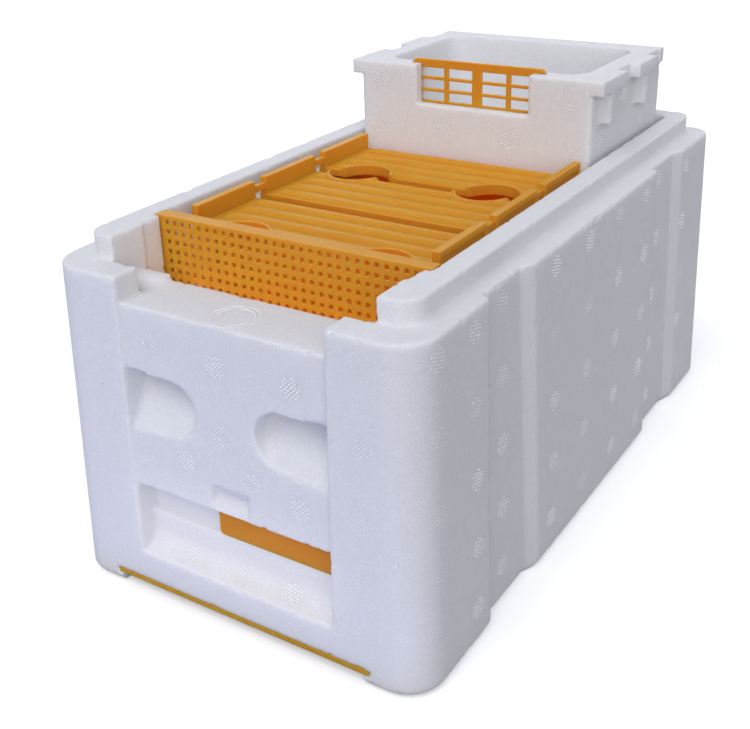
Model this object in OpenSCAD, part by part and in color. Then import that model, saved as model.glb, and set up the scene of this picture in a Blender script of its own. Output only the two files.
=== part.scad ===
// Foam nuc box for mating queen bees: body, three small frames, loose feeder tub, bee grille, vent plate, two slides.
// Millimetres. Z is up, the entrance faces -Y, the box is centred on X and Y and its feet stand on Z = 0.

/* [Foam body] */
// Outside width at the lid ledge
body_w = 140; // [134:1:160]
// Height of the lid ledge above the feet
ledge_z = 118.5; // [114:0.5:130]
// Lean of each outside wall between ledge and feet
flare = 3; // [1:0.5:5]
// Radius of the two upright corners at the front
corner_r = 13; // [8:1:16]
// Radius of the two upright corners at the back
rear_corner_r = 9; // [6:1:14]
// Rounding of the lower outside edge
foot_round = 1.6; // [0.8:0.2:3]
// Rounding of the edge of the lid ledge
ledge_round = 0.6; // [0.4:0.2:2]

/* [Rim and seats] */
// Width of the lid ledge outside the rim
ledge_w = 7.4; // [6:0.2:10]
// Thickness of the rim
rim_t = 8.2; // [6:0.2:9]
// Height of the rim above the lid ledge
rim_h = 8; // [6:0.5:12]
// Setback of the rim from the front
rim_setback = 11.2; // [9:0.2:14]
// Corner radius of the rim outside
rim_corner_r = 8; // [4:1:12]
// Thickness of the two rim ends at the front
block_t = 12.2; // [10:0.2:13]
// Distance from the front to the back of the rim ends
block_end = 36; // [33:0.5:38]
// Distance from the front to the step in the rim ends
block_step_y = 26.5; // [24:0.5:30]
// Depth of the step in the rim ends
block_step = 1.2; // [0.6:0.2:2]
// Drop from the lid ledge to the inner seat
seat_drop = 1; // [0.5:0.5:3]
// Width of the inner seat beside the chamber
seat_w = 8.4; // [7:0.2:9.5]
// Corner radius of the inner seat
seat_corner_r = 5; // [3:0.5:7]

/* [Chamber] */
// Height of the chamber floor
floor_z = 22; // [18:1:26]
// Corner radius of the chamber
chamber_corner_r = 6; // [4:1:10]
// Height of the shelf that carries the vent plate
shelf_z = 98; // [92:0.5:100]
// Solid foam between the vent plate lip and the chamber
shelf_back = 2.3; // [1.5:0.1:4]
// Length of the rear seat under the feeder
rear_seat = 5; // [4:0.5:8]
// Width of the filling hole in the floor
fill_w = 60; // [40:2:70]
// Length of the filling hole in the floor
fill_l = 80; // [50:2:100]

/* [Front wall] */
// Half the width between the two front posts
post_in = 39.7; // [37:0.1:42]
// Recess of the front panel behind the posts
panel_recess = 1.8; // [1:0.2:3]
// Drop from the lid ledge to the top of the front wall
sill_drop = 9; // [7:0.5:11]
// Thickness of the front wall at its top
sill_back = 25; // [22:0.5:28]
// Width of the low pads at the ends of the front wall
pad_w = 12; // [6:0.5:14]
// Length of the low pads
pad_l = 8; // [6:0.5:10]
// Length of the flat top of the pads, behind their slope
pad_flat = 4; // [2:0.5:5]
// Height of the low pads
pad_h = 2; // [1:0.25:3]
// Height of the lower edge of the front panel
panel_z = 43; // [42:0.5:46]
// Half width of the notch in the lower edge of the panel
notch_half = 7.5; // [5:0.5:9]
// Height of the notch in the lower edge of the panel
notch_h = 10; // [7:0.5:11]
// Depth of the upper face of the notch
notch_d = 2; // [1:0.25:2.5]
// Height of the upper face of the notch
notch_face_h = 3; // [2:0.25:4]
// Depth of the step under the upper face of the notch
notch_step = 1.4; // [0.8:0.1:1.8]

/* [Finger grips] */
// Distance from the middle to the round tip of each grip
grip_x = 11.6; // [9:0.2:15]
// Height of the lower edge of the grips at their tip
grip_z = 67; // [65:0.5:70]
// Height of each grip opening at its tip
grip_h = 19; // [16:0.5:22]
// Drop of the lower edge of the grips towards the posts
grip_drop = 2.4; // [0:0.2:3]
// Rise of the upper edge of the grips towards the posts
grip_lift = 0.8; // [0:0.2:2]
// Depth of the grips at their top
grip_d = 10; // [7:0.5:12]
// Height of the upright back face of the grips
grip_back_h = 5; // [4:0.5:8]

/* [Porch and entrance] */
// Height of the porch floor at its front edge
porch_z = 16.8; // [15:0.2:18]
// Rise of the porch floor towards the back
porch_rise = 2.1; // [1:0.1:3]
// Depth of the porch behind the front
porch_d = 5.2; // [4.6:0.1:6]
// Radius of the hollow between porch floor and back
porch_cove_r = 6.5; // [3:0.5:7]
// Height of the entrance sill
entry_z = 30; // [28:0.5:32]
// Height of the entrance tunnel
entry_h = 10; // [8:0.5:11]
// Overlap of the closed slide over each end of the tunnel
entry_lap = 4; // [2:0.5:8]

/* [Entrance slide] */
// Thickness of the entrance slide
slide_t = 1.6; // [1.2:0.1:2]
// Length of the entrance slide
slide_l = 49.4; // [42:0.2:56]
// Depth that the slide reaches into the slot above it
slide_tuck = 4; // [2.5:0.25:5]
// Radius of the lower left corner of the slide
slide_corner_r = 1.5; // [1:0.5:4]

/* [Side grooves] */
// Distance from the front of the box to the front grooves
groove_y = 42.9; // [36:0.1:50]
// Distance from the back of the box to the rear grooves
groove_rear_y = 40.4; // [36:0.1:50]
// Width of the grooves at the outside
groove_w = 31.5; // [24:0.5:38]
// Depth of the grooves
groove_d = 2.8; // [1.5:0.1:3.5]
// Length of the slope at the back of a groove
groove_slope = 5.7; // [3:0.1:8]
// Length of the step at the front of a groove
groove_step = 0.8; // [0.4:0.1:2]

/* [Feet and floor slide] */
// Half the distance between the two long feet
foot_in = 51.3; // [48:0.1:54]
// Height of the underside of the floor above the feet
under_z = 5.7; // [5.2:0.1:7]
// Thickness of the floor slide
floor_slide_t = 2.1; // [1.4:0.1:2.4]
// Depth of the slide groove in each foot
foot_groove_d = 2; // [1.5:0.1:3]
// Setback of the floor slide from the front
floor_slide_y = 0.3; // [0.2:0.1:4]
// Distance from the back of the box to the end of the slide
floor_slide_end = 20; // [15:1:40]

/* [Vent plate] */
// Thickness of the vent plate
plate_t = 1.2; // [1:0.1:1.6]
// Depth of the lip along the top of the vent plate
lip_l = 5.2; // [4:0.2:6]
// Distance from the plate edge to the first column of holes
mesh_margin = 5.1; // [4.6:0.1:6]
// Distance between two rows of vent holes
mesh_rise = 3.5; // [3.3:0.05:3.6]
// Size of the square vent holes
mesh_hole = 1.7; // [1.5:0.1:2.5]
// Columns of vent holes
mesh_cols = 29; // [25:2:29]
// Rows of vent holes
mesh_rows = 8; // [6:1:8]
// Distance from the plate top to the first row of holes
mesh_top = 2.3; // [2.3:0.1:3]
// Depth of the groove that holds the plate in the shelf
plate_groove = 3; // [2:0.25:4]

/* [Frames] */
// Width of each top bar
bar_w = 33.4; // [32.4:0.1:35]
// Space between two top bars
bar_gap = 5.6; // [4:0.1:6]
// Space between the vent plate and the first bar
first_gap = 7.45; // [6:0.05:9]
// How far the bars reach over the inner seat
bar_bearing = 3.4; // [2.6:0.1:4]
// Thickness of the top bars
bar_t = 2.6; // [2.2:0.1:3]
// Height of the ribs on the top bars
rib_h = 1.4; // [0.8:0.1:1.8]
// Width of each rib
rib_w = 5.6; // [5:0.1:7.6]
// Distance from the ends of the bar to the ends of the ribs
rib_end = 6; // [5:0.5:10]
// Length of the slope at the ends of the ribs
rib_slope = 3; // [1:0.5:5]
// Thickness of the upright flanges at the bar ends
flange_t = 2.8; // [2.2:0.1:3.2]
// Length of the upright flanges
flange_l = 32.3; // [28:0.1:32.3]
// Depth of the panel sunk in the flange
flange_panel_d = 0.7; // [0.4:0.1:1]
// Margin around the panel sunk in the flange
flange_panel_edge = 2.2; // [1.5:0.1:3]
// Thickness of the spacer nibs between two flanges
nib_t = 2; // [1.5:0.1:2.5]
// Height of the spacer nibs
nib_h = 2.4; // [1.5:0.1:3]
// Drop from the flange top to the top of the nibs
nib_drop = 2; // [1:0.1:3]
// Distance from the middle to the two cut-outs in a bar
cut_x = 28; // [24:0.5:29]
// How far both cut-outs stand off to one side
cut_shift = 1.6; // [0:0.1:2]
// Radius of the cut-outs
cut_r = 10.5; // [9:0.25:11.5]
// Width of the raised lip around the cut-outs
cut_lip = 2.4; // [1.6:0.1:3]
// Width of the top of that lip
cut_lip_top = 1; // [0.6:0.1:1.4]
// Space between the side bars and the chamber wall
side_space = 2; // [1.5:0.1:3]
// Thickness of the side bars
side_t = 2.5; // [2:0.1:3]
// Width of the side bars
side_w = 20; // [16:1:24]
// Height of the frames' lower edge above the chamber floor
frame_space = 10; // [7:0.5:14]
// Thickness of the bottom bars
bottom_t = 3; // [2:0.1:4]
// Width of the bottom bars
bottom_w = 12; // [8:0.5:14]
// Thickness of the foundation sheets
sheet_t = 1.2; // [0.8:0.1:1.6]
// Depth of the grooves that hold the foundation sheets
sheet_groove = 1; // [0.6:0.1:1.2]

/* [Feeder] */
// Space between the last bar and the feeder
feeder_gap = 3.25; // [2:0.05:5]
// Length of the feeder
feeder_l = 77.4; // [70:0.2:90]
// Space between the feeder and the rear rim
feeder_rear_gap = 5.4; // [3:0.1:7]
// How far the feeder reaches over the inner seat
feeder_bearing = 5.2; // [3.5:0.1:5.6]
// Height of the feeder
feeder_h = 39; // [36:0.5:44]
// Thickness of the feeder's side walls
feeder_side_t = 8; // [6.5:0.25:9]
// Thickness of the feeder's front wall
feeder_front_t = 9.2; // [8:0.1:10]
// Thickness of the feeder's rear wall
feeder_rear_t = 10; // [8:0.25:12]
// Thickness of the feeder's floor
feeder_floor_t = 7; // [5:0.25:9]
// Outside corner radius of the feeder
feeder_corner_r = 1.5; // [1:0.5:4]
// Inside corner radius of the feeder
feeder_inner_r = 8; // [5:0.5:12]
// Reach of the lugs on the feeder's sides
lug_reach = 4.4; // [3:0.1:5.5]
// Thickness of the lugs
lug_t = 5.6; // [4:0.1:6.5]
// Length of the front lugs
lug_l = 25.5; // [20:0.5:28]
// Length of the gap behind the front lugs
lug_gap = 13.5; // [12:0.5:18]
// Length of the middle lugs
lug_mid_l = 20.5; // [16:0.5:22]
// Length of the rear lugs
lug_rear_l = 4; // [3:0.5:6]
// Reach of the rear lugs
lug_rear_reach = 0.8; // [0.6:0.1:4]
// Height of the wedge ribs under the lugs
wedge_h = 12; // [10:0.5:15]
// Length of the flat face of the wedge ribs
wedge_l = 2.5; // [1.5:0.5:4]
// Length of the hollow slope in front of the flat face
wedge_slope = 5; // [3:0.25:6]
// Distance from the front of a lug to its wedge rib
wedge_y = 4; // [3:0.25:6]
// Reach of the wedge ribs
wedge_reach = 4.2; // [2.5:0.1:4.4]
// Half width of the notch in the feeder's front
mouth_half = 25; // [23:0.25:26]
// Depth of the notch in the feeder's front
mouth_d = 15.8; // [14:0.2:18]

/* [Bee grille] */
// Thickness of the bee grille
grille_t = 1.3; // [1:0.1:1.6]
// Setback of the bee grille from the feeder's front
grille_y = 5.2; // [4:0.1:6]
// How far the grille reaches into the slot at each end
grille_tuck = 4.5; // [3:0.1:5.5]
// How far the grille stands over the feeder
grille_over = 1.7; // [1:0.1:3]
// Depth of the groove under the grille
grille_sunk = 1.2; // [0.8:0.1:2]
// Height of the bar along the top of the grille
grille_top = 3.3; // [2.5:0.1:4]
// Half width of the middle bar of the grille
grille_mid = 2.05; // [1.5:0.05:3]
// Width of each window of the grille
window_w = 11; // [9:0.1:11.3]
// Height of each window of the grille
window_h = 3.7; // [3.4:0.05:3.8]
// Height of the bars between two windows
window_bar = 1.2; // [0.9:0.05:1.4]
// Width of the bar between two windows
window_post = 1.75; // [1.2:0.05:2]
// Radius of the top corners of the grille
grille_corner_r = 2; // [1:0.25:3]

/* [Fits] */
// Clearance beside pieces that slide or lift out
fit = 0.3; // [0.2:0.05:0.4]

/* [Hidden] */
$fn = 64;
hull_fn = 32;
slice = 0.2;
over = 1;
body_l = block_end + fit + lip_l + first_gap + 3 * bar_w + 2 * bar_gap + feeder_gap + feeder_l
  + feeder_rear_gap + rim_t + ledge_w;
half_w = body_w / 2;
half_l = body_l / 2;
y_front = -half_l;
base_half_w = half_w + flare;
base_half_l = half_l + flare;
rim_out = half_w - ledge_w;
rim_in = rim_out - rim_t;
rim_z = ledge_z + rim_h;
rim_y0 = y_front + rim_setback;
rim_y1 = half_l - ledge_w;
seat_y1 = rim_y1 - rim_t;
seat_z = ledge_z - seat_drop;
sill_z = ledge_z - sill_drop;
sill_y1 = y_front + sill_back;
block_in = rim_out - block_t;
block_y1 = y_front + block_end;
chamber_half = rim_in - seat_w;
plate_y0 = block_y1 + fit;
lip_y1 = plate_y0 + lip_l;
chamber_y0 = lip_y1 + shelf_back;
plate_half = rim_in - fit;
plate_z0 = shelf_z - plate_groove;
mesh_pitch = (2 * plate_half - 2 * mesh_margin) / (mesh_cols - 1);
bar_pitch = bar_w + bar_gap;
bar_half = chamber_half + bar_bearing;
frame_y = [for (i = [0:2]) lip_y1 + first_gap + bar_w / 2 + i * bar_pitch];
frame_z0 = floor_z + frame_space;
side_out = chamber_half - side_space;
side_in = side_out - side_t;
feeder_y0 = frame_y[2] + bar_w / 2 + feeder_gap;
feeder_y1 = feeder_y0 + feeder_l;
feeder_half = chamber_half + feeder_bearing;
feeder_z1 = seat_z + feeder_h;
mouth_z = feeder_z1 - mouth_d;
lug_z = feeder_z1 - lug_t;
chamber_y1 = feeder_y1 - rear_seat;
grille_y0 = feeder_y0 + grille_y;
grille_half = mouth_half + grille_tuck;
grille_z0 = mouth_z - grille_sunk;
grille_z1 = feeder_z1 + grille_over;
slide_y0 = y_front + porch_d + fit;
slide_slot_y1 = slide_y0 + slide_t + fit;
slide_x1 = post_in - fit;
slide_x0 = slide_x1 - slide_l;
slide_z1 = panel_z + slide_tuck;
floor_slide_z = under_z - floor_slide_t;
floor_slide_y1 = half_l - floor_slide_end;
foam = [0.93, 0.94, 0.97];
plastic = [0.86, 0.58, 0.18];
wax = [0.80, 0.46, 0.12];

function lean(z) = flare * (1 - z / ledge_z);

module box(x0, x1, y0, y1, z0, z1) {
  translate([x0, y0, z0])
    cube([x1 - x0, y1 - y0, z1 - z0]);
}

module wide_box(half, y0, y1, z0, z1) {
  box(-half, half, y0, y1, z0, z1);
}

module round_plan(half, y0, y1, r) {
  translate([-half + r, y0])
    square([2 * half - 2 * r, y1 - y0]);
  translate([-half, y0 + r])
    square([2 * half, y1 - y0 - 2 * r]);
  for (sx = [-1, 1])
    for (y = [y0 + r, y1 - r])
      translate([sx * (half - r), y])
        circle(r = r);
}

module round_block(half, y0, y1, z0, z1, r) {
  translate([0, 0, z0])
    linear_extrude(height = z1 - z0)
      round_plan(half, y0, y1, r);
}

module side_profile(x0, x1) {
  translate([x0, 0, 0])
    rotate([90, 0, 90])
      linear_extrude(height = x1 - x0)
        children();
}

module corner_disc(sx, sy, z, inset) {
  r = sy < 0 ? corner_r : rear_corner_r;
  translate([
    sx * (half_w + lean(z) - inset - r),
    sy * (half_l + lean(z) - inset - r),
    z
  ])
    cylinder(r = r, h = slice, $fn = hull_fn);
}

module leaning_block(inset) {
  hull()
    for (sx = [-1, 1])
      for (sy = [-1, 1]) {
        corner_disc(sx, sy, 0, inset + foot_round);
        corner_disc(sx, sy, foot_round, inset);
        corner_disc(sx, sy, ledge_z - ledge_round - slice, inset);
        corner_disc(sx, sy, ledge_z - slice, inset + ledge_round);
      }
}

module groove_plan(y0) {
  x_out = base_half_w + over;
  x_in = half_w - groove_d - over;
  out = (x_out - half_w) / groove_d;
  in = (half_w - x_in) / groove_d;
  polygon([
    [x_out, y0 - groove_step * out],
    [x_out, y0 + groove_w + groove_slope * out],
    [x_in, y0 + groove_w - groove_slope * in],
    [x_in, y0 + groove_step * in]
  ]);
}

module side_grooves() {
  difference() {
    for (sx = [0, 1])
      mirror([sx, 0, 0])
        for (y0 = [y_front + groove_y, half_l - groove_rear_y - groove_w])
          translate([0, 0, -over])
            linear_extrude(height = ledge_z + 2 * over)
              groove_plan(y0);
    leaning_block(groove_d);
  }
}

module front_panel_recess() {
  difference() {
    wide_box(post_in, -base_half_l - over, y_front + 2 * panel_recess, panel_z - over, sill_z + over);
    leaning_block(panel_recess);
  }
}

module grip(side) {
  tip_r = grip_h / 2;
  face_y = y_front - lean(grip_z) + panel_recess;
  out_y = face_y - over - panel_recess;
  back_y = face_y + grip_d;
  drop = (face_y - out_y) * (grip_h + grip_drop - grip_back_h) / grip_d;
  top_z = grip_z + grip_h + grip_lift;
  mirror([side, 0, 0])
    intersection() {
      translate([0, back_y + over, grip_z + tip_r])
        rotate([90, 0, 0])
          linear_extrude(height = back_y - out_y + 2 * over) {
            translate([grip_x + tip_r, 0])
              circle(r = tip_r);
            polygon([
              [grip_x + tip_r, -tip_r],
              [post_in, -tip_r - grip_drop],
              [post_in, tip_r + grip_lift],
              [grip_x + tip_r, tip_r]
            ]);
          }
      side_profile(0, post_in)
        polygon([
          [out_y, grip_z - grip_drop - drop],
          [face_y, grip_z - grip_drop],
          [back_y, grip_z + grip_h - grip_back_h],
          [back_y, top_z],
          [out_y, top_z]
        ]);
    }
}

module porch() {
  edge_y = y_front - lean(porch_z);
  back_y = y_front + porch_d;
  tilt = atan(porch_rise / (back_y - edge_y));
  cove_y = back_y - porch_cove_r;
  cove_z = porch_z + (cove_y - edge_y) * tan(tilt) + porch_cove_r / cos(tilt);
  side_profile(-post_in, post_in) {
    polygon([
      [-base_half_l - over, porch_z],
      [edge_y, porch_z],
      [cove_y + porch_cove_r * sin(tilt), cove_z - porch_cove_r * cos(tilt)],
      [cove_y, cove_z],
      [back_y, cove_z],
      [back_y, panel_z],
      [-base_half_l - over, panel_z]
    ]);
    intersection() {
      translate([cove_y, cove_z])
        circle(r = porch_cove_r);
      translate([edge_y, porch_z])
        square([back_y - edge_y, panel_z - porch_z]);
    }
  }
  wide_box(post_in, y_front, slide_slot_y1, entry_z, panel_z);
  wide_box(post_in, slide_y0 - fit, slide_slot_y1, entry_z, slide_z1 + fit);
  box(slide_x0 + entry_lap, slide_x1 - entry_lap, y_front + porch_d, chamber_y0 + over, entry_z, entry_z + entry_h);
}

module panel_notch() {
  face_y = y_front - lean(panel_z) + panel_recess;
  step_z = panel_z + notch_h - notch_face_h;
  side_profile(-notch_half, notch_half)
    polygon([
      [-base_half_l - over, panel_z],
      [face_y, panel_z],
      [face_y + notch_d + notch_step, step_z - notch_step],
      [face_y + notch_d + notch_step, step_z],
      [face_y + notch_d, step_z],
      [face_y + notch_d, panel_z + notch_h],
      [-base_half_l - over, panel_z + notch_h]
    ]);
}

module top_hollows() {
  wide_box(post_in, -base_half_l - over, rim_y0 + over, sill_z, rim_z + over);
  wide_box(block_in, rim_y0, block_y1 + over, sill_z, rim_z + over);
  wide_box(block_in, sill_y1, block_y1 + over, shelf_z, rim_z + over);
  wide_box(block_in + block_step, y_front + block_step_y, block_y1 + over, shelf_z, rim_z + over);
  wide_box(rim_in, block_y1, lip_y1 + fit, shelf_z, rim_z + over);
  wide_box(chamber_half, block_y1, chamber_y0 + chamber_corner_r, shelf_z, rim_z + over);
  wide_box(rim_in, block_y1, plate_y0 + plate_t + fit, plate_z0, rim_z + over);
  wide_box(rim_in, block_y1, chamber_y0 + over, seat_z, rim_z + over);
  round_block(rim_in, block_y1, seat_y1, seat_z, rim_z + over, seat_corner_r);
  round_block(chamber_half, chamber_y0, chamber_y1, floor_z, rim_z + over, chamber_corner_r);
}

module underside() {
  wide_box(foot_in, -base_half_l - over, base_half_l + over, -over, under_z);
  wide_box(foot_in + foot_groove_d, -base_half_l - over, floor_slide_y1 + fit, floor_slide_z - fit, under_z);
  wide_box(fill_w / 2, -fill_l / 2, fill_l / 2, under_z - over, floor_z + over);
}

module hive_body() {
  color(foam) {
    difference() {
      union() {
        leaning_block(0);
        round_block(rim_out, rim_y0, rim_y1, seat_z - over, rim_z, rim_corner_r);
      }
      side_grooves();
      front_panel_recess();
      grip(0);
      grip(1);
      porch();
      panel_notch();
      top_hollows();
      underside();
    }
    for (sx = [0, 1])
      mirror([sx, 0, 0])
        side_profile(block_in - pad_w, block_in)
          polygon([
            [sill_y1 - pad_l, sill_z],
            [sill_y1, sill_z],
            [sill_y1, sill_z + pad_h],
            [sill_y1 - pad_flat, sill_z + pad_h]
          ]);
  }
}

module wedge(y0) {
  deep = wedge_reach + slice;
  cove_r = (deep * deep + wedge_slope * wedge_slope) / (2 * deep);
  back_y = y0 + wedge_slope + wedge_l;
  translate([0, 0, lug_z - wedge_h])
    linear_extrude(height = wedge_h) {
      difference() {
        translate([feeder_half - over, y0])
          square([wedge_reach + over, wedge_slope + wedge_l]);
        translate([feeder_half - slice + cove_r, y0])
          circle(r = cove_r);
      }
      intersection() {
        translate([feeder_half, back_y])
          circle(r = wedge_reach);
        translate([feeder_half - over, back_y - over])
          square(wedge_reach + 2 * over);
      }
    }
}

module feeder_side() {
  lug_out = feeder_half + lug_reach;
  mid_y = feeder_y0 + lug_l + lug_gap;
  box(feeder_half - feeder_corner_r, lug_out, feeder_y0, feeder_y0 + lug_l, lug_z, feeder_z1);
  box(feeder_half - over, lug_out, mid_y, mid_y + lug_mid_l, lug_z, feeder_z1);
  box(feeder_half - feeder_corner_r, feeder_half + lug_rear_reach, feeder_y1 - lug_rear_l, feeder_y1,
    lug_z, feeder_z1);
  wedge(feeder_y0 + wedge_y);
  wedge(mid_y + wedge_y);
}

module feeder() {
  color(foam)
    difference() {
      union() {
        round_block(feeder_half, feeder_y0, feeder_y1, seat_z, feeder_z1, feeder_corner_r);
        for (sx = [0, 1])
          mirror([sx, 0, 0])
            feeder_side();
      }
      round_block(feeder_half - feeder_side_t, feeder_y0 + feeder_front_t, feeder_y1 - feeder_rear_t,
        seat_z + feeder_floor_t, feeder_z1 + over, feeder_inner_r);
      wide_box(mouth_half, feeder_y0 - over, feeder_y0 + feeder_front_t + over, mouth_z, feeder_z1 + over);
      wide_box(grille_half + fit, grille_y0 - fit, grille_y0 + grille_t + fit, grille_z0, feeder_z1 + over);
    }
}

module grille_plan() {
  difference() {
    union() {
      translate([-grille_half, grille_z0])
        square([2 * grille_half, grille_z1 - grille_corner_r - grille_z0]);
      translate([-grille_half + grille_corner_r, grille_z0])
        square([2 * grille_half - 2 * grille_corner_r, grille_z1 - grille_z0]);
      for (sx = [-1, 1])
        translate([sx * (grille_half - grille_corner_r), grille_z1 - grille_corner_r])
          circle(r = grille_corner_r);
    }
    for (row = [0:2])
      for (x = [-1, 1])
        for (col = [0, 1])
          translate([
            x * (grille_mid + window_w / 2 + col * (window_w + window_post)) - window_w / 2,
            grille_z1 - grille_top - window_h - row * (window_h + window_bar)
          ])
            square([window_w, window_h]);
  }
}

module bee_grille() {
  color(plastic)
    translate([0, grille_y0 + grille_t, 0])
      rotate([90, 0, 0])
        linear_extrude(height = grille_t)
          grille_plan();
}

module vent_plan() {
  difference() {
    translate([-plate_half, plate_z0])
      square([2 * plate_half, rim_z - plate_z0]);
    for (row = [0:mesh_rows - 1])
      for (col = [0:mesh_cols - 1])
        translate([
          (col - (mesh_cols - 1) / 2) * mesh_pitch - mesh_hole / 2,
          rim_z - mesh_top - row * mesh_rise - mesh_hole / 2
        ])
          square(mesh_hole);
  }
}

module vent_plate() {
  color(plastic) {
    translate([0, plate_y0 + plate_t, 0])
      rotate([90, 0, 0])
        linear_extrude(height = plate_t)
          vent_plan();
    wide_box(plate_half, plate_y0 + plate_t, lip_y1, rim_z - plate_t, rim_z);
  }
}

module rib(y) {
  rise = rib_h;
  r = (rib_w * rib_w / 4 + rise * rise) / (2 * rise);
  half = bar_half - rib_end;
  intersection() {
    translate([-half, y, bar_t + rise - r])
      rotate([0, 90, 0])
        cylinder(r = r, h = 2 * half, $fn = 96);
    translate([0, y + rib_w, 0])
      rotate([90, 0, 0])
        linear_extrude(height = 2 * rib_w)
          polygon([
            [-half, bar_t - over / 2],
            [half, bar_t - over / 2],
            [half, bar_t],
            [half - rib_slope, bar_t + rise],
            [rib_slope - half, bar_t + rise],
            [-half, bar_t]
          ]);
  }
}

module top_bar() {
  edge_y = bar_w / 2 + bar_gap / 2;
  difference() {
    union() {
      translate([-bar_half, -bar_w / 2, 0])
        cube([2 * bar_half, bar_w, bar_t]);
      for (i = [0:3])
        rib((i - 1.5) * (bar_w / 4));
      for (sx = [-1, 1])
        intersection() {
          translate([sx * cut_x + cut_shift, -edge_y, bar_t])
            cylinder(r1 = cut_r + cut_lip, r2 = cut_r + cut_lip_top, h = rib_h);
          translate([-bar_half, -bar_w / 2, 0])
            cube([2 * bar_half, bar_w, bar_t + rib_h]);
        }
    }
    for (sx = [-1, 1])
      translate([sx * cut_x + cut_shift, -edge_y, -over])
        cylinder(r = cut_r, h = bar_t + rib_h + 2 * over);
  }
}

module flange(nib_side) {
  h = rim_z - seat_z;
  panel_z0 = flange_panel_edge;
  nib_l = bar_pitch - flange_l - fit;
  difference() {
    translate([bar_half - flange_t, -flange_l / 2, 0])
      cube([flange_t, flange_l, h]);
    translate([bar_half - flange_panel_d, -flange_l / 2 + flange_panel_edge, panel_z0])
      cube([flange_panel_d + over, flange_l - 2 * flange_panel_edge, h - 2 * flange_panel_edge]);
  }
  if (nib_side != 0)
    translate([
      bar_half - flange_t,
      nib_side > 0 ? flange_l / 2 - over : -flange_l / 2 - nib_l,
      h - nib_drop - nib_h
    ])
      cube([nib_t, nib_l + over, nib_h]);
}

module side_bar() {
  difference() {
    translate([side_in, -side_w / 2, frame_z0 - seat_z])
      cube([side_t, side_w, seat_z - frame_z0 + over]);
    translate([side_in - over, -sheet_t / 2 - fit / 2, frame_z0 - seat_z + bottom_t])
      cube([sheet_groove + over, sheet_t + fit, seat_z - frame_z0 - bottom_t]);
  }
}

module frame(index, turn, nib_side) {
  color(plastic)
    translate([0, frame_y[index], seat_z])
      rotate([0, 0, turn]) {
        top_bar();
        for (sx = [0, 1])
          mirror([sx, 0, 0]) {
            flange(nib_side);
            side_bar();
          }
        translate([-side_out, -bottom_w / 2, frame_z0 - seat_z])
          cube([2 * side_out, bottom_w, bottom_t]);
      }
}

module foundation(index) {
  half = side_in + sheet_groove - fit / 2;
  color(wax)
    translate([0, frame_y[index], 0])
      wide_box(half, -sheet_t / 2, sheet_t / 2, frame_z0 + bottom_t, seat_z - fit / 2);
}

module frame_front() {
  frame(0, 0, 0);
}

module frame_middle() {
  frame(1, 180, 1);
}

module frame_rear() {
  frame(2, 0, -1);
}

module foundation_front() {
  foundation(0);
}

module foundation_middle() {
  foundation(1);
}

module foundation_rear() {
  foundation(2);
}

module entrance_slide() {
  x0 = slide_x0;
  color(plastic)
    difference() {
      box(x0, slide_x1, slide_y0, slide_y0 + slide_t, entry_z, slide_z1);
      difference() {
        box(x0 - over, x0 + slide_corner_r, slide_y0 - over, slide_y0 + slide_t + over,
          entry_z - over, entry_z + slide_corner_r);
        translate([x0 + slide_corner_r, slide_y0 + slide_t + 2 * over, entry_z + slide_corner_r])
          rotate([90, 0, 0])
            cylinder(r = slide_corner_r, h = slide_t + 4 * over);
      }
    }
}

module floor_slide() {
  color(plastic)
    wide_box(foot_in + foot_groove_d - fit, y_front - lean(under_z) + floor_slide_y, floor_slide_y1,
      floor_slide_z, under_z);
}

hive_body();
feeder();
bee_grille();
vent_plate();
frame_front();
frame_middle();
frame_rear();
foundation_front();
foundation_middle();
foundation_rear();
entrance_slide();
floor_slide();
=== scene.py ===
import math
from types import SimpleNamespace

import bpy
import numpy as np
from mathutils import Matrix, Vector, noise
from mathutils.bvhtree import BVHTree

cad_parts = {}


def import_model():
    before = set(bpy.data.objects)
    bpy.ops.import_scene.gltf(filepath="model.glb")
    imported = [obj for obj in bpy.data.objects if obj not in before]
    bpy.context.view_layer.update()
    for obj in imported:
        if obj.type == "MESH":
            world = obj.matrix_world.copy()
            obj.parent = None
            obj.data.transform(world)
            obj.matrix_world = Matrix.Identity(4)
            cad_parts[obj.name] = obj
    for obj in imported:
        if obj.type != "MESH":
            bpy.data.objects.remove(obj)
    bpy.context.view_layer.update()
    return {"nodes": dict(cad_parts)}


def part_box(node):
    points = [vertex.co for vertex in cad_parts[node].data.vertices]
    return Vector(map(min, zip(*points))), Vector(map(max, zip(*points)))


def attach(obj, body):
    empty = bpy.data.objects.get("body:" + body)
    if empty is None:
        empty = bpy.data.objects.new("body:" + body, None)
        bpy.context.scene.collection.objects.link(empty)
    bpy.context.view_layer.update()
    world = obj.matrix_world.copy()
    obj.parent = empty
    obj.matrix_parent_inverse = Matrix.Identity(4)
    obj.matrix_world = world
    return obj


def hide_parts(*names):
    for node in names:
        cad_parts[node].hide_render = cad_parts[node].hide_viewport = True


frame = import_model()
NODES = frame["nodes"]
MM = 0.001
WHITE = (1.0, 1.0, 1.0, 1.0)
LEFT, RIGHT = Vector((-1, 0, 0)), Vector((1, 0, 0))
FRONT, BACK, UP = Vector((0, -1, 0)), Vector((0, 1, 0)), Vector((0, 0, 1))
scene = bpy.context.scene

# A fixed seed, because vector noise otherwise starts from the clock
SEED = 1
noise.seed_set(SEED)


def mm(x, y, z):
    """A place given in millimetres."""
    return Vector((x, y, z)) * MM


# Node helpers

MIX_FACTOR, MIX_A, MIX_B, MIX_RESULT = 0, 6, 7, 2


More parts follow.
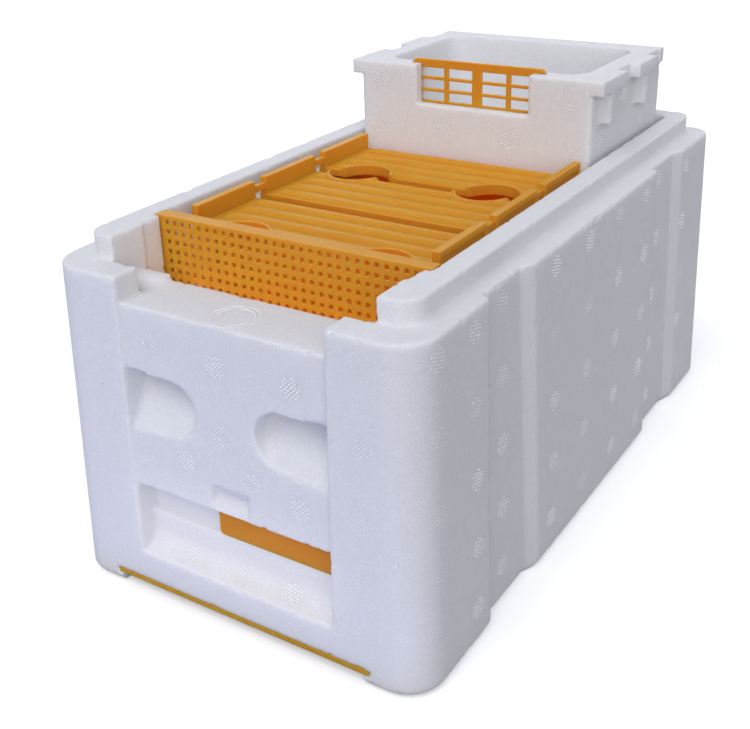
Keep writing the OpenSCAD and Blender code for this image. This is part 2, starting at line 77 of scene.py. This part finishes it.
def new_material(name):
    """A material with nothing but a Principled shader."""
    mat = bpy.data.materials.new(name)
    mat.use_nodes = True
    tree = mat.node_tree
    tree.nodes.clear()
    out = tree.nodes.new("ShaderNodeOutputMaterial")
    shader = tree.nodes.new("ShaderNodeBsdfPrincipled")
    tree.links.new(shader.outputs["BSDF"], out.inputs["Surface"])
    return mat, tree, shader


def add(tree, kind, **values):
    """A new node, with inputs or settings given by name."""
    node = tree.nodes.new(kind)
    for key, value in values.items():
        if key in node.inputs.keys():
            node.inputs[key].default_value = value
        else:
            setattr(node, key, value)
    return node


def feed(tree, socket, value):
    """Links a socket to another one, or sets it to a fixed value."""
    if isinstance(value, bpy.types.NodeSocket):
        tree.links.new(value, socket)
    else:
        socket.default_value = value


def mix_colour(tree, factor, a, b):
    """Colour a where the factor is nought, colour b where it is one."""
    node = add(tree, "ShaderNodeMix", data_type="RGBA")
    for index, value in ((MIX_FACTOR, factor), (MIX_A, a), (MIX_B, b)):
        feed(tree, node.inputs[index], value)
    return node.outputs[MIX_RESULT]


def calc(tree, operation, *values):
    """One sum, with sockets or numbers as its values."""
    node = add(tree, "ShaderNodeMath", operation=operation)
    for socket, value in zip(node.inputs, values):
        feed(tree, socket, value)
    return node.outputs[0]


def remap(tree, value, span, result):
    """Turns a span of a value into another span, with soft ends."""
    node = add(tree, "ShaderNodeMapRange", interpolation_type="SMOOTHSTEP")
    tree.links.new(value, node.inputs[0])
    for socket, number in zip(node.inputs[1:5], span + result):
        socket.default_value = number
    return node.outputs[0]


def cloud(tree, place, size_mm, detail=2.0, roughness=0.5):
    """Soft noise."""
    node = add(tree, "ShaderNodeTexNoise", Scale=1.0 / (size_mm * MM), Detail=detail, Roughness=roughness)
    tree.links.new(place, node.inputs["Vector"])
    return node


def cells(tree, place, size_mm, feature="F1"):
    """Cells like packed beads."""
    node = add(tree, "ShaderNodeTexVoronoi", feature=feature, Scale=1.0 / (size_mm * MM))
    tree.links.new(place, node.inputs["Vector"])
    return node


def channels(tree, colour):
    """Red, green and blue of a colour."""
    node = add(tree, "ShaderNodeSeparateColor")
    tree.links.new(colour, node.inputs[0])
    return node.outputs


def spots(tree, cell, edge, strength, above):
    """Round spots in the middle of those cells whose own red is above a limit."""
    spot = remap(tree, cell.outputs["Distance"], edge, (strength, 0.0))
    chosen = calc(tree, "GREATER_THAN", channels(tree, cell.outputs["Color"])[0], above)
    return calc(tree, "MULTIPLY", spot, chosen)


def shade(colour, factor):
    """A colour made darker or brighter."""
    return tuple(c * factor for c in colour[:3]) + (1.0,)


def set_depth(shader, shine, glow, scatter_mm):
    """How much the surface shines, and how much and how far light wanders below it."""
    shader.inputs["Specular IOR Level"].default_value = shine
    shader.inputs["Subsurface Weight"].default_value = glow
    shader.inputs["Subsurface Scale"].default_value = 1.0
    shader.inputs["Subsurface Radius"].default_value = tuple(reach * MM for reach in scatter_mm)


# Foam material, with lengths in mm

WARP_CLOUD, WARP = 2.4, 1.1
SPECK_CELL, DIRT_CELL = 1.5, 7.0
PATCH_CLOUD, COARSE_CLOUD, GRAIN_CLOUD = 26.0, 17.0, 0.6
FOAM_RELIEF, FOAM_BUMP = 0.16, 0.35
FOAM_SCATTER = (7.0, 6.6, 6.4)
# The last of these shades, above one, is a painted glint on the small spots
BEAD_SHADE, PATCH_SHADE, SEAM_SHADE, GRAIN_SHADE, PAINTED_GLINT_SHADE = 0.955, 0.96, 0.92, 0.87, 1.17
GRAIN_HEIGHT, SPECK_HEIGHT, PATCH_HEIGHT = 0.65, 0.45, 1.2
SEAM_WIDTH, DOME_WIDTH = 0.09, 0.22
COARSE_SPAN = (0.52, 0.66)
DIRT_COLOUR = (0.20, 0.17, 0.15, 1.0)


def on_coarse(tree, coarse, least, extra):
    """A share that is least on fine skin and grows by extra on coarse skin."""
    return calc(tree, "MULTIPLY_ADD", coarse, extra, least)


def foam_fields(tree, bead_mm):
    """What colour and relief are made of: beads, coarse skin, small spots with a painted glint, dirt, patches
    and grain.
    """
    place = add(tree, "ShaderNodeTexCoord").outputs["Object"]
    bent = add(tree, "ShaderNodeVectorMath", operation="MULTIPLY_ADD")
    tree.links.new(cloud(tree, place, WARP_CLOUD).outputs["Color"], bent.inputs[0])
    bent.inputs[1].default_value = (WARP * MM,) * 3
    tree.links.new(place, bent.inputs[2])
    bead_channels = channels(tree, cells(tree, bent.outputs[0], bead_mm).outputs["Color"])
    seams = cells(tree, bent.outputs[0], bead_mm, "DISTANCE_TO_EDGE")
    coarse = remap(tree, cloud(tree, place, COARSE_CLOUD).outputs["Fac"], COARSE_SPAN, (0.0, 1.0))
    # Small spots: a painted glint in the colour, a small rise in the relief
    glint_specks = spots(tree, cells(tree, place, SPECK_CELL), edge=(0.1, 0.26), strength=1.0, above=0.86)
    return SimpleNamespace(
        tone=bead_channels[0],
        sheen=bead_channels[1],
        seam=seams.outputs["Distance"],
        coarse=coarse,
        glint_specks=calc(tree, "MULTIPLY", glint_specks, on_coarse(tree, coarse, least=0.3, extra=0.7)),
        dirt=spots(tree, cells(tree, place, DIRT_CELL), edge=(0.02, 0.045), strength=0.7, above=0.82),
        patches=cloud(tree, place, PATCH_CLOUD, detail=3.0, roughness=0.6).outputs["Fac"],
        grain=cloud(tree, place, GRAIN_CLOUD, roughness=0.7).outputs["Fac"],
    )


def foam_colour(tree, base, field):
    """Layers of tone over the base colour: bead tone, patches, dark joints, grain and painted glints, the
    last one dirt.
    """
    seam = calc(tree, "MULTIPLY", remap(tree, field.seam, (0.0, SEAM_WIDTH), (1.0, 0.0)),
                on_coarse(tree, field.coarse, least=0.06, extra=0.2))
    layers = (
        (remap(tree, field.tone, (0.0, 1.0), (0.0, 0.5)), shade(base, BEAD_SHADE)),
        (remap(tree, field.patches, (0.35, 0.7), (0.0, 0.5)), shade(base, PATCH_SHADE)),
        (seam, shade(base, SEAM_SHADE)),
        (remap(tree, field.grain, (0.3, 0.7), (0.8, 0.0)), shade(base, GRAIN_SHADE)),
        # Painted highlight: the small spots are coloured brighter than the base, as glints
        (field.glint_specks, shade(base, PAINTED_GLINT_SHADE)),
        (field.dirt, DIRT_COLOUR),
    )
    colour = base
    for amount, layer in layers:
        colour = mix_colour(tree, amount, colour, layer)
    return colour


def foam_height(tree, field):
    """Domed beads, clearest where the skin is coarse, under grain, the small raised spots and broad patches.
    """
    height = calc(tree, "MULTIPLY", remap(tree, field.seam, (0.0, DOME_WIDTH), (0.0, 1.0)),
                  on_coarse(tree, field.coarse, least=0.05, extra=0.3))
    weighed = ((field.grain, GRAIN_HEIGHT), (field.glint_specks, SPECK_HEIGHT), (field.patches, PATCH_HEIGHT))
    for layer, weight in weighed:
        height = calc(tree, "MULTIPLY_ADD", layer, weight, height)
    return height


def foam_material(name, base, bead_mm, gloss=(0.5, 0.68), shine=0.13, glow=0.45):
    """Expanded polystyrene: a matt skin over fused beads."""
    mat, tree, shader = new_material(name)
    field = foam_fields(tree, bead_mm)
    bump = add(tree, "ShaderNodeBump", Strength=FOAM_BUMP, Distance=FOAM_RELIEF * MM)
    tree.links.new(foam_height(tree, field), bump.inputs["Height"])
    tree.links.new(bump.outputs["Normal"], shader.inputs["Normal"])
    tree.links.new(foam_colour(tree, base, field), shader.inputs["Base Color"])
    tree.links.new(remap(tree, field.sheen, (0.0, 1.0), gloss), shader.inputs["Roughness"])
    set_depth(shader, shine, glow, FOAM_SCATTER)
    return mat


# Plastic material, with lengths in mm

FLOW_CLOUD, FINE_CLOUD = 38.0, 0.7
FLOW_STRETCH = (1.0, 2.2, 1.6)
PLASTIC_RELIEF, PLASTIC_BUMP = 0.08, 0.12
PLASTIC_SCATTER = (5.0, 1.5, 0.3)
PLASTIC_SHINE, PLASTIC_GLOW = 0.08, 0.9
PLASTIC_GLOSS = (0.36, 0.5)
EDGE_SAMPLES = 6


def plastic_material(name, base, deep, edge_mm):
    """Injection moulded plastic: satin, translucent, faint flow clouding, fine grain and softened edges."""
    mat, tree, shader = new_material(name)
    link = tree.links.new
    place = add(tree, "ShaderNodeTexCoord").outputs["Object"]
    stretch = add(tree, "ShaderNodeMapping", Scale=FLOW_STRETCH)
    link(place, stretch.inputs["Vector"])
    flow = cloud(tree, stretch.outputs[0], FLOW_CLOUD, detail=4.0, roughness=0.55).outputs["Fac"]
    clouded = remap(tree, flow, (0.3, 0.72), (0.0, 0.6))
    link(mix_colour(tree, clouded, base, deep), shader.inputs["Base Color"])
    link(remap(tree, flow, (0.25, 0.75), PLASTIC_GLOSS), shader.inputs["Roughness"])
    edge = add(tree, "ShaderNodeBevel", samples=EDGE_SAMPLES, Radius=edge_mm * MM)
    bump = add(tree, "ShaderNodeBump", Strength=PLASTIC_BUMP, Distance=PLASTIC_RELIEF * MM)
    link(cloud(tree, place, FINE_CLOUD).outputs["Fac"], bump.inputs["Height"])
    link(edge.outputs["Normal"], bump.inputs["Normal"])
    link(bump.outputs["Normal"], shader.inputs["Normal"])
    set_depth(shader, PLASTIC_SHINE, PLASTIC_GLOW, PLASTIC_SCATTER)
    return mat


# Colours

FOAM_WHITE = (0.82, 0.825, 0.84, 1.0)
FEEDER_WHITE = (0.84, 0.842, 0.85, 1.0)
# Vent dots: a brighter white, partly their denser skin and partly a painted highlight of the lamps
DOT_WHITE_AND_GLINT = (0.95, 0.952, 0.96, 1.0)
YELLOW, DEEP_YELLOW = (0.66, 0.325, 0.030, 1.0), (0.63, 0.28, 0.020, 1.0)
AMBER, DEEP_AMBER = (0.64, 0.255, 0.022, 1.0), (0.61, 0.22, 0.015, 1.0)

FOAM = foam_material("foam_body", FOAM_WHITE, bead_mm=2.6)
FOAM_FINE = foam_material("foam_feeder", FEEDER_WHITE, bead_mm=2.2)
# The dots' material carries that painted highlight in its white base colour
BEADS = foam_material("foam_beads", DOT_WHITE_AND_GLINT, bead_mm=2.6, gloss=(0.25, 0.4), shine=0.35, glow=0.0)
PLASTIC = plastic_material("moulded_yellow", YELLOW, DEEP_YELLOW, edge_mm=0.35)
ORANGE = plastic_material("moulded_orange", AMBER, DEEP_AMBER, edge_mm=0.3)


# Mesh helpers

def assign(obj, mat):
    """Gives a piece one material."""
    obj.data.materials.clear()
    obj.data.materials.append(mat)


def add_mesh(name, points, faces, mat, body):
    """A new piece of foam that rides a body."""
    mesh = bpy.data.meshes.new(name)
    mesh.from_pydata(points, [], faces)
    mesh.shade_smooth()
    obj = bpy.data.objects.new(name, mesh)
    scene.collection.objects.link(obj)
    assign(obj, mat)
    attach(obj, body)
    return obj


def read_points(mesh, field):
    """Places or normals of a mesh's points, one row each."""
    values = np.empty(len(mesh.vertices) * 3)
    mesh.vertices.foreach_get(field, values)
    return values.reshape(-1, 3)


def write_points(mesh, co):
    """Moves a mesh's points to new places."""
    mesh.vertices.foreach_set("co", co.ravel())
    mesh.update()


def edge_ends(mesh):
    """The two ends of each edge, once in either order."""
    pairs = np.empty(len(mesh.edges) * 2, dtype=np.int32)
    mesh.edges.foreach_get("vertices", pairs)
    pairs = pairs.reshape(-1, 2)
    return np.concatenate((pairs, pairs[:, ::-1]))


def to_neighbours(co, ends):
    """The way from each point to the middle of its neighbours."""
    count = len(co)
    degree = np.maximum(np.bincount(ends[:, 0], minlength=count), 1)[:, None]
    total = np.stack([np.bincount(ends[:, 0], co[ends[:, 1], k], count) for k in range(3)], axis=1)
    return total / degree - co


# Foam mouldings: boxes are in mm, noise scales are per metre

SMOOTH_SHARE = 0.5
MELT_PASSES = 1
SHARP_BEND, LEAST_SHARP = 0.06, 0.2
BROAD_NOISE, SMALL_NOISE = 150.0, 480.0
BROAD_BITE, SMALL_BITE, UNBITTEN = 0.45, 0.65, 0.12
SMALL_SHIFT = Vector((7.0, 3.0, 1.0))


def relax(mesh, boxes, passes):
    """Rounds a surface inside some boxes: each point there moves towards the middle of its neighbours."""
    co = read_points(mesh, "co")
    chosen = np.zeros(len(co), dtype=bool)
    for low, high in boxes:
        chosen |= ((co > np.array(low) * MM) & (co < np.array(high) * MM)).all(axis=1)
    ends = edge_ends(mesh)
    ends = ends[chosen[ends].any(axis=1)]
    for _ in range(passes):
        co[chosen] += SMOOTH_SHARE * to_neighbours(co, ends)[chosen]
    write_points(mesh, co)


def nibble(mesh, voxel_mm, depth_mm):
    """Pulls points of convex edges inwards by smooth noise."""
    co = read_points(mesh, "co")
    normal = read_points(mesh, "normal")
    bend = -np.einsum("ij,ij->i", to_neighbours(co, edge_ends(mesh)), normal)
    sharp = np.clip(bend / (SHARP_BEND * voxel_mm * MM), 0.0, 1.0)
    for i in np.nonzero(sharp > LEAST_SHARP)[0]:
        point = Vector(co[i])
        broad = noise.noise(point * BROAD_NOISE)
        small = noise.noise(point * SMALL_NOISE + SMALL_SHIFT)
        bite = max(0.0, broad * BROAD_BITE + small * SMALL_BITE - UNBITTEN)
        co[i] -= normal[i] * (bite * sharp[i] * depth_mm * MM)
    write_points(mesh, co)


def soft_copy(node, name, voxel_mm, chip_mm, mat, zones=()):
    """A foam moulding: the CAD solid with its edges melted round and nibbled, as beads break away."""
    obj = bpy.data.objects.new(name, NODES[node].data.copy())
    scene.collection.objects.link(obj)
    remesh = obj.modifiers.new("beads", "REMESH")
    remesh.mode = "VOXEL"
    remesh.voxel_size = voxel_mm * MM
    smooth = obj.modifiers.new("melt", "SMOOTH")
    smooth.factor = SMOOTH_SHARE
    smooth.iterations = MELT_PASSES
    bpy.context.view_layer.update()
    graph = bpy.context.evaluated_depsgraph_get()
    mesh = bpy.data.meshes.new_from_object(obj.evaluated_get(graph))
    obj.modifiers.clear()
    obj.data = mesh
    for passes, boxes in zones:
        relax(mesh, boxes, passes)
    nibble(mesh, voxel_mm, chip_mm)
    mesh.shade_smooth()
    assign(obj, mat)
    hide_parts(node)
    return obj


GROOVE_SLOPES = ((-67.0, -52.0), (80.5, 95.0))
SIDE_WALLS = ((-80.0, -60.0), (60.0, 80.0))
WALL_LOW, WALL_HIGH = 3.0, 116.0
SLOPE_BOXES = [((x0, y0, WALL_LOW), (x1, y1, WALL_HIGH)) for x0, x1 in SIDE_WALLS for y0, y1 in GROOVE_SLOPES]
SILL_PADS = ((-49.6, -35.0), (35.0, 49.6))
PAD_FRONT, PAD_BACK, PAD_LOW, PAD_HIGH = -116.0, -106.6, 108.8, 114.0
PAD_BOXES = [((x0, PAD_FRONT, PAD_LOW), (x1, PAD_BACK, PAD_HIGH)) for x0, x1 in SILL_PADS]
PORCH_BOXES = [((-38.5, -131.0, 22.0), (38.5, -125.5, 29.8))]
SLOPE_PASSES, PAD_PASSES, PORCH_PASSES = 3, 16, 24
SOFT_ZONES = ((SLOPE_PASSES, SLOPE_BOXES), (PAD_PASSES, PAD_BOXES), (PORCH_PASSES, PORCH_BOXES))

body = soft_copy("hive_body", "foam_box", voxel_mm=0.65, chip_mm=1.3, mat=FOAM, zones=SOFT_ZONES)
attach(body, "box")
tub = soft_copy("feeder", "foam_feeder", voxel_mm=0.5, chip_mm=1.0, mat=FOAM_FINE)
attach(tub, "feed")


# Marks of the mould: clusters of steam vent dots and rings of the bead injectors

CAST_FROM = 40 * MM
LEAST_FACING = 0.3
DOT_R, DOT_RISE, DOT_PITCH = 0.43 * MM, 0.2 * MM, 1.25 * MM
DOT_SIDES = 8
DOT_PROFILE = ((1.0, -0.3), (0.8, 0.55))
DOT_ROWS, CLUSTER_R = 3, 2.7
ROW_STEP = math.sqrt(3) / 2
PRESSED, LEAST_PRESSED = 0.95, 0.5
CLUSTER_VARIES, DOT_VARIES, RING_VARIES = 0.5, 0.35, 1.4
CLUSTER_NOISE, DOT_NOISE, RING_NOISE = 140.0, 900.0, 260.0
WIDEST_DOT, TALLEST_DOT = 1.1, 1.2
RING_STEPS = 72
LIP_PROFILE = ((-1.0, -0.4), (-0.4, 0.8), (0.4, 0.8), (1.0, -0.4))


class Skin:
    """The surface of a foam piece, on which marks are seated along a straight line of sight."""

    def __init__(self, obj):
        graph = bpy.context.evaluated_depsgraph_get()
        self.tree = BVHTree.FromObject(obj, graph)
        self.points, self.faces = [], []

    def seat(self, place, outward):
        """Where a line meets the surface, and the surface's normal there."""
        hit, normal, _, _ = self.tree.ray_cast(place + outward * CAST_FROM, -outward, 2 * CAST_FROM)
        if hit is None or normal.dot(outward) <= LEAST_FACING:
            return None, None
        return hit, normal

    def dome(self, place, outward, radius, rise):
        """One raised dot."""
        hit, normal = self.seat(place, outward)
        if hit is None:
            return
        u = normal.orthogonal().normalized()
        v = normal.cross(u)
        low = len(self.points)
        high = low + DOT_SIDES
        for width, height in DOT_PROFILE:
            for k in range(DOT_SIDES):
                turn = k * math.tau / DOT_SIDES
                out = u * math.cos(turn) + v * math.sin(turn)
                self.points.append(hit + out * (width * radius) + normal * (height * rise))
        self.points.append(hit + normal * rise)
        for k in range(DOT_SIDES):
            n = (k + 1) % DOT_SIDES
            self.faces.append((low + k, low + n, high + n, high + k))
            self.faces.append((high + k, high + n, high + DOT_SIDES))

    def cluster(self, place, outward, worn=0.0):
        """A round patch of about thirty dots, fewer and flatter where it is worn."""
        u = outward.orthogonal().normalized()
        v = outward.cross(u)
        pressed = PRESSED - worn + CLUSTER_VARIES * noise.noise(place * CLUSTER_NOISE)
        for row in range(-DOT_ROWS, DOT_ROWS + 1):
            for col in range(-DOT_ROWS, DOT_ROWS + 1):
                across, along = col + row / 2, row * ROW_STEP
                if math.hypot(across, along) > CLUSTER_R:
                    continue
                spot = place + (u * across + v * along) * DOT_PITCH
                vigour = pressed + DOT_VARIES * noise.noise(spot * DOT_NOISE)
                if vigour > LEAST_PRESSED:
                    radius = DOT_R * min(vigour, WIDEST_DOT)
                    self.dome(spot, outward, radius, DOT_RISE * min(vigour, TALLEST_DOT))

    def ring(self, place, outward, radius, width, rise, whole):
        """A raised circular lip, broken where the noise is low."""
        u = outward.orthogonal().normalized()
        v = outward.cross(u)
        firsts = []
        for k in range(RING_STEPS):
            turn = k * math.tau / RING_STEPS
            out = u * math.cos(turn) + v * math.sin(turn)
            spot = place + out * radius
            hit, normal = self.seat(spot, outward)
            firsts.append(None if hit is None else len(self.points))
            if hit is None:
                continue
            strength = max(0.0, min(1.0, whole + RING_VARIES * noise.noise(spot * RING_NOISE)))
            for side, height in LIP_PROFILE:
                lift = rise * (height - 1.0 + strength)
                self.points.append(hit + out * (side * width / 2) + normal * lift)
        for a, b in zip(firsts, firsts[1:] + firsts[:1]):
            if a is None or b is None:
                continue
            for j in range(len(LIP_PROFILE) - 1):
                self.faces.append((a + j, b + j, b + j + 1, a + j + 1))

    def build(self, name, body_name):
        """All the marks as one piece."""
        return add_mesh(name, self.points, self.faces, BEADS, body_name)


BOX_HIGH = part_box("hive_body")[1]
TUB_LOW, TUB_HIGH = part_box("feeder")
HALF_W, HALF_L = BOX_HIGH[0] / MM, BOX_HIGH[1] / MM
TUB_HALF_W, TUB_FRONT, TUB_BACK = TUB_HIGH[0] / MM, TUB_LOW[1] / MM, TUB_HIGH[1] / MM
SIDES = ((-1, LEFT), (1, RIGHT))

# Places of the marks in mm: read off the photograph on the front and the right side, guessed elsewhere
VENT_ROWS = (13.5, 37.5, 61.5, 86.5, 111.5)
VENT_COLUMNS = (-119.5, -98.0, -74.5, -39.5, -10.5, 19.0, 47.0, 68.0, 97.0)
BACK_COLUMNS = (-48.0, -24.0, 0.0, 24.0, 48.0)
VENT_WANDER, WANDER_NOISE, WANDER_X = 1.6, 60.0, 90.0
CORNER_WORN, POST_WORN = 0.25, 0.42
PANEL_VENTS = ((-29.0, 98.0), (-2.0, 96.0), (26.4, 96.0), (-33.6, 54.2),
               (-16.8, 59.3), (-0.7, 72.4), (9.0, 58.8), (28.0, 54.9))
POST_VENTS = ((53.5, 108.5), (52.5, 84.0), (51.0, 58.5), (50.0, 33.1))
PORCH_VENTS = (-20.0, 1.8, 20.8)
PORCH_Y, PORCH_Z = -130.0, 20.6
PORCH_SLOPE = Vector((0, -0.6, 0.8))
SILL_RING = mm(-0.4, -120.3, 109.5)
SILL_RING_RADII = (8.0, 6.3)
TUB_FRONT_VENTS = ((-41.8, 150.1), (-42.4, 130.2), (-12.0, 130.3), (17.4, 130.0), (46.2, 129.6))
TUB_SIDE_VENTS = ((42.6, 133.6), (66.5, 144.8), (88.0, 131.0))
TUB_RING = mm(43.4, TUB_FRONT, 150.9)
TUB_RING_RADII = (5.8, 4.6)


def mark_box():
    """Vent dots on the four walls and in the porch, and rings on the sill."""
    skin = Skin(body)
    for sx, outward in SIDES:
        for y in VENT_COLUMNS:
            worn = CORNER_WORN if y == VENT_COLUMNS[0] else 0.0
            for z in VENT_ROWS:
                wander = noise.noise_vector(mm(sx * WANDER_X, y, z) * WANDER_NOISE) * VENT_WANDER * MM
                skin.cluster(mm(sx * HALF_W, y, z) + wander, outward, worn)
    for x, z in POST_VENTS:
        skin.cluster(mm(x, -HALF_L, z), FRONT, POST_WORN)
    for x, z in PANEL_VENTS:
        skin.cluster(mm(x, -HALF_L, z), FRONT)
    for x in PORCH_VENTS:
        skin.cluster(mm(x, PORCH_Y, PORCH_Z), PORCH_SLOPE)
    for x in BACK_COLUMNS:
        for z in VENT_ROWS:
            skin.cluster(mm(x, HALF_L, z), BACK)
    for radius in SILL_RING_RADII:
        skin.ring(SILL_RING, UP, radius * MM, width=0.9 * MM, rise=0.3 * MM, whole=0.8)
    skin.build("foam_box_mould_marks", "box")


def mark_tub():
    """Vent dots on the four walls of the feeder, and rings on its front."""
    skin = Skin(tub)
    for x, z in TUB_FRONT_VENTS:
        skin.cluster(mm(x, TUB_FRONT, z), FRONT)
        skin.cluster(mm(x, TUB_BACK, z), BACK)
    for sx, outward in SIDES:
        for y, z in TUB_SIDE_VENTS:
            skin.cluster(mm(sx * TUB_HALF_W, y, z), outward)
    for radius in TUB_RING_RADII:
        skin.ring(TUB_RING, FRONT, radius * MM, width=0.7 * MM, rise=0.16 * MM, whole=0.15)
    skin.build("foam_feeder_mould_marks", "feed")


bpy.context.view_layer.update()
mark_box()
mark_tub()


# Moulded plastic pieces keep their CAD shape

for node in ("bee_grille", "vent_plate", "frame_front", "frame_middle", "frame_rear", "floor_slide"):
    assign(NODES[node], PLASTIC)
for node in ("foundation_front", "foundation_middle", "foundation_rear", "entrance_slide"):
    assign(NODES[node], ORANGE)


# Camera at the photograph's place, with the eye in metres

AZIMUTH, ELEVATION, ROLL = (math.radians(d) for d in (32.775, 24.185, 1.563))
EYE = Vector((0.20022, -0.35307, 0.24389))
SENSOR_MM, FOCAL_MM = 36.0, 52.354
SHIFT_Y = -0.0593
CLIP_START = 0.01


def aim():
    """The camera's place and turn in the world."""
    right = Vector((math.cos(AZIMUTH), math.sin(AZIMUTH), 0.0))
    back = Vector((
        math.sin(AZIMUTH) * math.cos(ELEVATION),
        -math.cos(AZIMUTH) * math.cos(ELEVATION),
        math.sin(ELEVATION),
    ))
    down = (-back).cross(right)
    tilted_right = right * math.cos(ROLL) + down * math.sin(ROLL)
    tilted_down = down * math.cos(ROLL) - right * math.sin(ROLL)
    turn = Matrix((tilted_right, -tilted_down, back)).transposed()
    return Matrix.Translation(EYE) @ turn.to_4x4()


lens = bpy.data.cameras.new("camera")
lens.sensor_fit = "HORIZONTAL"
lens.sensor_width = SENSOR_MM
lens.lens = FOCAL_MM
lens.shift_y = SHIFT_Y
lens.clip_start = CLIP_START
lens.dof.use_dof = False
camera = bpy.data.objects.new("camera", lens)
scene.collection.objects.link(camera)
camera.matrix_world = aim()
scene.camera = camera


# Floor, world and lamps

FLOOR_REACH, FLOOR_DROP = 30.0, 0.4 * MM
FLOOR_GREY = (0.18, 0.175, 0.19, 1.0)
FLOOR_LIFT, FLOOR_ROUGHNESS = 0.3, 0.9


def seen(tree):
    """One for rays that see the background straight, mirrored or through glass, else nought."""
    path = add(tree, "ShaderNodeLightPath")
    mirrored = calc(tree, "MAXIMUM", path.outputs["Is Glossy Ray"], path.outputs["Is Transmission Ray"])
    return calc(tree, "MAXIMUM", path.outputs["Is Camera Ray"], mirrored)


def floor():
    """White to the eye, grey in the light that it throws back."""
    mat, tree, shader = new_material("studio_floor")
    eye = seen(tree)
    tree.links.new(mix_colour(tree, eye, FLOOR_GREY, WHITE), shader.inputs["Base Color"])
    tree.links.new(calc(tree, "MULTIPLY", eye, FLOOR_LIFT), shader.inputs["Emission Strength"])
    shader.inputs["Emission Color"].default_value = WHITE
    shader.inputs["Roughness"].default_value = FLOOR_ROUGHNESS
    shader.inputs["Specular IOR Level"].default_value = 0.0
    corners = [(x * FLOOR_REACH, y * FLOOR_REACH, 0.0) for x, y in ((-1, -1), (1, -1), (1, 1), (-1, 1))]
    mesh = bpy.data.meshes.new("studio_floor")
    mesh.from_pydata(corners, [], [(0, 1, 2, 3)])
    obj = bpy.data.objects.new("studio_floor", mesh)
    scene.collection.objects.link(obj)
    obj.location.z = -FLOOR_DROP
    assign(obj, mat)


def world(strength, colour):
    """Plain light from all round, in front of a background that looks white."""
    studio = bpy.data.worlds.new("studio")
    scene.world = studio
    studio.use_nodes = True
    tree = studio.node_tree
    tree.nodes.clear()
    sky = add(tree, "ShaderNodeBackground", Color=colour, Strength=strength)
    white = add(tree, "ShaderNodeBackground", Color=WHITE, Strength=1.0)
    choose = add(tree, "ShaderNodeMixShader")
    tree.links.new(seen(tree), choose.inputs[0])
    tree.links.new(sky.outputs[0], choose.inputs[1])
    tree.links.new(white.outputs[0], choose.inputs[2])
    out = add(tree, "ShaderNodeOutputWorld")
    tree.links.new(choose.outputs[0], out.inputs[0])


def hang(name, lamp, towards):
    """Puts a lamp in the scene, with its back to a direction."""
    obj = bpy.data.objects.new(name, lamp)
    scene.collection.objects.link(obj)
    obj.rotation_euler = Vector(towards).to_track_quat("Z", "Y").to_euler()
    return obj


def sun(name, towards, strength, degrees, colour):
    """A soft far lamp."""
    lamp = bpy.data.lights.new(name, "SUN")
    lamp.energy = strength
    lamp.angle = math.radians(degrees)
    lamp.color = colour
    hang(name, lamp, towards)


def card(name, place, shines, size_mm, watts, colour):
    """A card of light that the camera doesn't see."""
    lamp = bpy.data.lights.new(name, "AREA")
    lamp.shape = "RECTANGLE"
    lamp.size, lamp.size_y = (edge * MM for edge in size_mm)
    lamp.energy = watts
    lamp.color = colour
    obj = hang(name, lamp, -shines)
    obj.location = place
    obj.visible_camera = False


floor()
world(strength=0.39, colour=(0.97, 1.0, 1.12, 1.0))
sun("key", (0.0, -0.5, 0.866), strength=1.08, degrees=40.0, colour=(0.99, 1.0, 1.06))
sun("side_key", (0.6, -0.75, 0.28), strength=1.07, degrees=50.0, colour=(1.0, 0.975, 0.985))
sun("back_key", (-0.62, 0.77, 0.15), strength=0.5, degrees=50.0, colour=(1.0, 0.99, 1.03))
# Blue light from the ground before the box
card("front_card", mm(-120, -392, 1.5), UP, size_mm=(500, 500), watts=0.42, colour=(0.40, 0.50, 1.0))
# Daylight that seeps through foam and plastic into the hollows
card("chamber_glow", mm(0, -3, 24), UP, size_mm=(80, 170), watts=0.10, colour=(1.0, 0.40, 0.20))
card("comb_glow", mm(0, -91, 78), BACK, size_mm=(86, 56), watts=0.045, colour=(1.0, 0.24, 0.11))
card("vent_glow", mm(0, -100.5, 99), UP, size_mm=(94, 8), watts=0.0022, colour=(1.0, 0.77, 0.58))
card("porch_glow", mm(0, -142, 34), BACK, size_mm=(74, 14), watts=0.001, colour=(1.0, 0.9, 0.85))

scene.view_settings.view_transform = "Standard"
